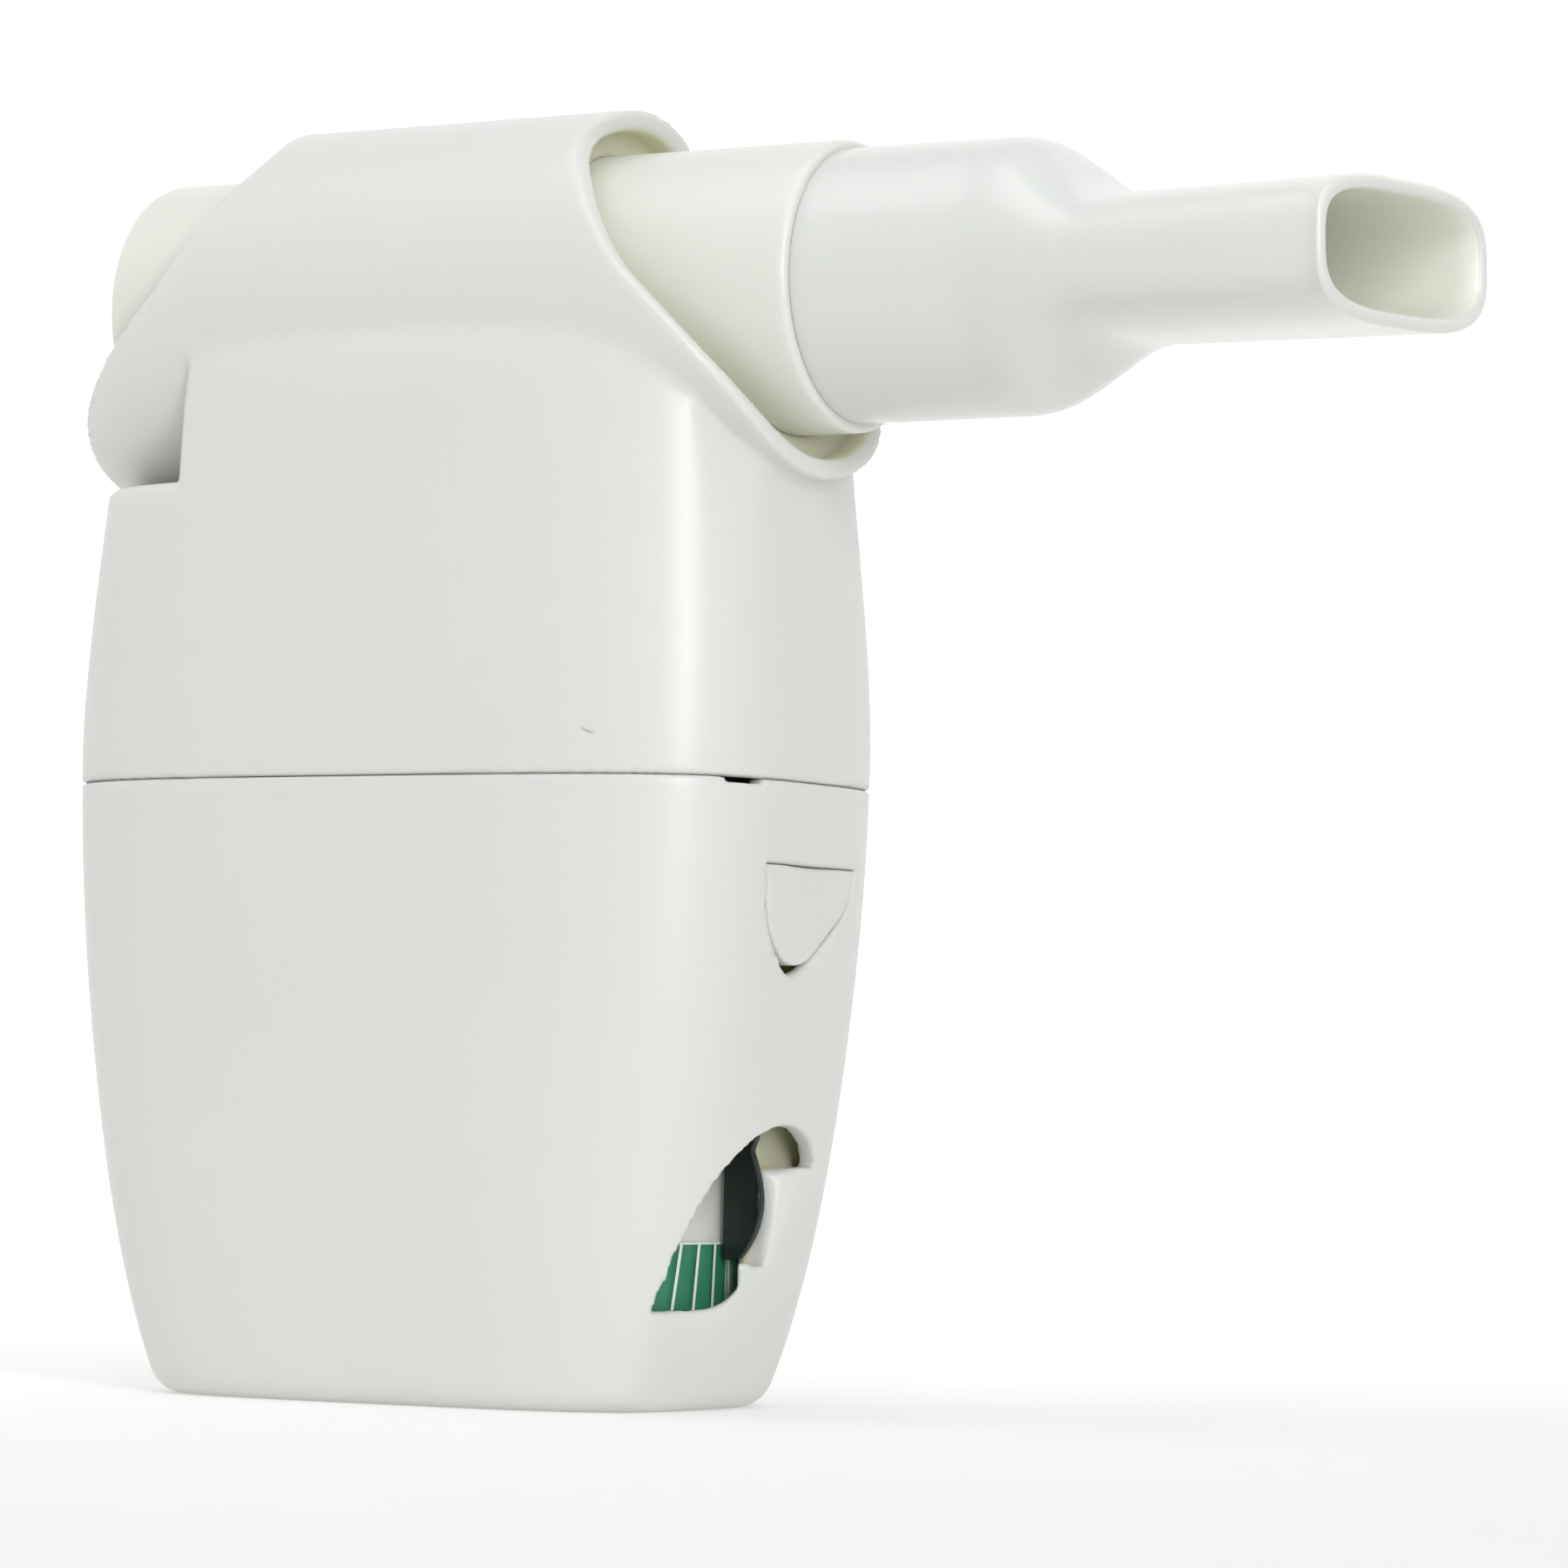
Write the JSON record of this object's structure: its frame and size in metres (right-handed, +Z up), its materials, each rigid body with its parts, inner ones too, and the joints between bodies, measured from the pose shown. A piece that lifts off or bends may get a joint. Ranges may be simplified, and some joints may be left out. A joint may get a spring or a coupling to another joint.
{
  "type": "positive expiratory pressure device",
  "caption": "Handheld breathing trainer: boxy two-part casing, horizontal duct with flared mouthpiece, rear valve port, side latches and a black resistance lever over a green scale.",
  "frame": {"origin": "middle of the flat base that the device stands on, under the vertical axis of the mechanism", "axes": "+X towards the mouthpiece along the horizontal duct, -Y out of the front face, +Z up"},
  "size_m": [0.1286, 0.0404, 0.1158],
  "materials": {
    "casing_white": "satin moulded, soft gloss",
    "casing_ivory": "satin moulded, warm ivory",
    "inner_plastic": "as moulded",
    "silicone": "translucent, matt",
    "bearing_brass": "turned",
    "shaft_steel": "ground",
    "blade_plastic": "as moulded",
    "lever_black": "satin moulded",
    "scale_green": "printed label"
  },
  "bodies": {
    "lower": {"lower_casing": "casing_white", "cradle": "casing_white", "scale_label": "scale_green", "chamber_lower": "inner_plastic", "chamber_upper": "inner_plastic", "nozzle_plate": "inner_plastic", "nozzle": "silicone", "nozzle_clamp": "inner_plastic", "bush_lower": "bearing_brass", "bush_upper": "bearing_brass", "lever_clip": "shaft_steel", "duct_seal": "silicone"},
    "upper": {"upper_casing": "casing_white", "air_duct": "casing_ivory", "valve_seat": "inner_plastic"},
    "button_right": {"latch_right": "casing_white"},
    "button_left": {"latch_left": "casing_white"},
    "mouth": {"mouthpiece": "casing_white"},
    "flap": {"valve_flap": "silicone"},
    "oscillator": {"shaft": "shaft_steel", "restrictor": "blade_plastic", "vane": "blade_plastic"},
    "lever": {"resistance_lever": "lever_black"}
  },
  "joints": [
    {"name": "casing_lift", "type": "slide", "parent": "lower", "child": "upper", "axis": [0, 0, 1], "range_m": [0, 0.06], "deforming": ["latch_right", "latch_left"]},
    {"name": "mouthpiece_pull", "type": "slide", "parent": "upper", "child": "mouth", "axis": [1, 0, 0], "range_m": [0, 0.03]},
    {"name": "oscillator_turn", "type": "hinge", "parent": "lower", "child": "oscillator", "pos_m": [0, 0, 0.05], "axis": [0, 0, 1], "range_deg": [-25, 25]},
    {"name": "lever_turn", "type": "hinge", "parent": "lower", "child": "lever", "pos_m": [0, 0, 0.0265], "axis": [0, 0, 1], "range_deg": [-12, 0]},
    {"name": "button_right_press", "type": "hinge", "parent": "upper", "child": "button_right", "pos_m": [0.03285, 0, 0.0587], "axis": [0, 1, 0], "range_deg": [0, 11], "stiffness_Nm_per_rad": 0.05},
    {"name": "button_left_press", "type": "hinge", "parent": "upper", "child": "button_left", "pos_m": [-0.03285, 0, 0.0587], "axis": [0, -1, 0], "range_deg": [0, 11], "stiffness_Nm_per_rad": 0.05},
    {"name": "flap_swing", "type": "hinge", "parent": "upper", "child": "flap", "pos_m": [-0.01765, 0, 0.107], "axis": [0, -1, 0], "range_deg": [0, 34]}
  ]
}
